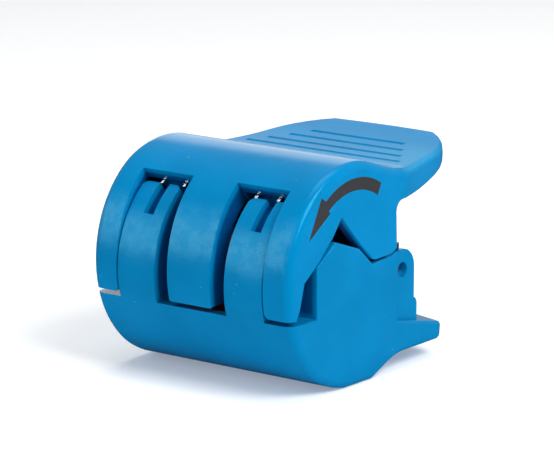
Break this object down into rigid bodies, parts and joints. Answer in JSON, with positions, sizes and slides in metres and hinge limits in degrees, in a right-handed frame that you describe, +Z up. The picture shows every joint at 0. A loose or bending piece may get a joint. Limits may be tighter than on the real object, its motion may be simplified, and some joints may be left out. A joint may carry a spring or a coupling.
{
  "type": "rotary cable stripper",
  "caption": "Spring-loaded clamshell hand tool: a sprung thumb lever closes banded jaws and blades over a V-grooved cable bed in a rounded body with a finger flange.",
  "frame": {"origin": "on the flat of the base, straight below the axis of the jaw drum, in the middle of the width", "axes": "+Z up from the base, +Y towards the thumb pad and the finger flange, -Y towards the jaws, X across the width along the cable"},
  "size_m": [0.041, 0.0568, 0.0377],
  "materials": {
    "blue_plastic": "semi-gloss moulded plastic, spark-eroded on the fingers, bands and pad",
    "red_plastic": "satin moulded plastic",
    "blade_steel": "ground blade steel",
    "screw_steel": "plated steel",
    "pin_steel": "turned steel",
    "spring_wire": "drawn spring wire"
  },
  "bodies": {
    "body": {"lower_body": "blue_plastic", "hinge_pin": "pin_steel", "cable_bed": "red_plastic", "spring_left": "spring_wire", "spring_right": "spring_wire"},
    "lever": {"thumb_lever": "blue_plastic", "inner_blade_left": "blade_steel", "inner_blade_right": "blade_steel", "outer_blade_left": "blade_steel", "outer_blade_right": "blade_steel", "blade_screw_left": "screw_steel", "blade_screw_right": "screw_steel", "blade_nut_left": "screw_steel", "blade_nut_right": "screw_steel"}
  },
  "joints": [
    {"name": "lever_hinge", "type": "hinge", "parent": "body", "child": "lever", "pos_m": [0, 0.0139, 0.01685], "axis": [-1, 0, 0], "range_deg": [0, 28], "stiffness_Nm_per_rad": 0.04, "springref_deg": -34.38, "deforming": ["spring_left", "spring_right"]}
  ]
}
